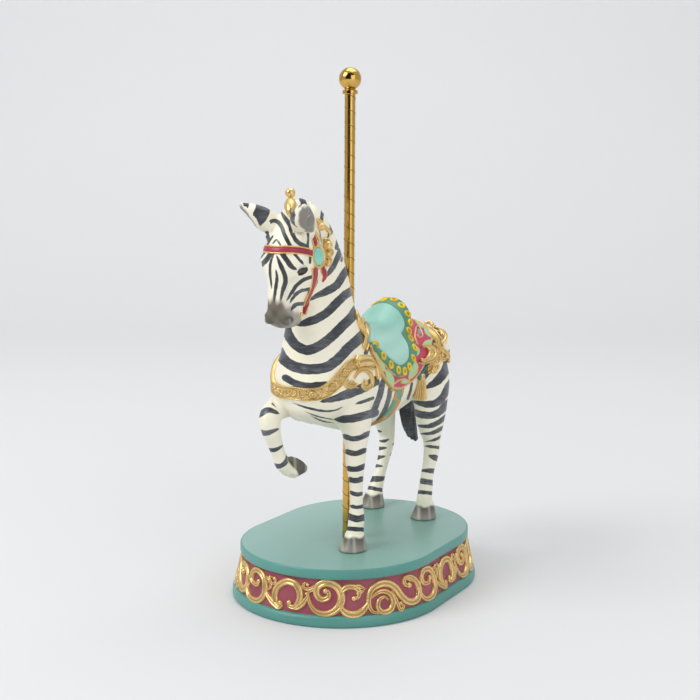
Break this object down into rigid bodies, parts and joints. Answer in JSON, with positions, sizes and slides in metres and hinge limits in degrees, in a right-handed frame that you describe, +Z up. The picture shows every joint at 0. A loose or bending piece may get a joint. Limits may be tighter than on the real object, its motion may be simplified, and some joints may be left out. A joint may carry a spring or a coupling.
{
  "type": "carousel zebra figurine",
  "caption": "Painted carousel zebra in gilded harness and saddle, prancing on an oval plinth with gold scrollwork, on an upright brass pole with a ball finial.",
  "frame": {"origin": "centre of the plinth's underside", "axes": "+Z up along the pole, +X across the figure towards its left side, -Y the way the zebra faces"},
  "size_m": [0.1966, 0.2853, 0.4717],
  "materials": {
    "plinth_paint": "cast resin, hand painted in teal with a burgundy frieze and gilded scrolls, satin",
    "figure_paint": "cast resin, hand painted in cream with charcoal stripes and coloured, gilded harness, satin",
    "polished_brass": "polished, with thin scored lines wound round the pole"
  },
  "bodies": {
    "root": {"plinth": "plinth_paint", "zebra": "figure_paint", "pole": "polished_brass", "ball_finial": "polished_brass"}
  },
  "joints": []
}
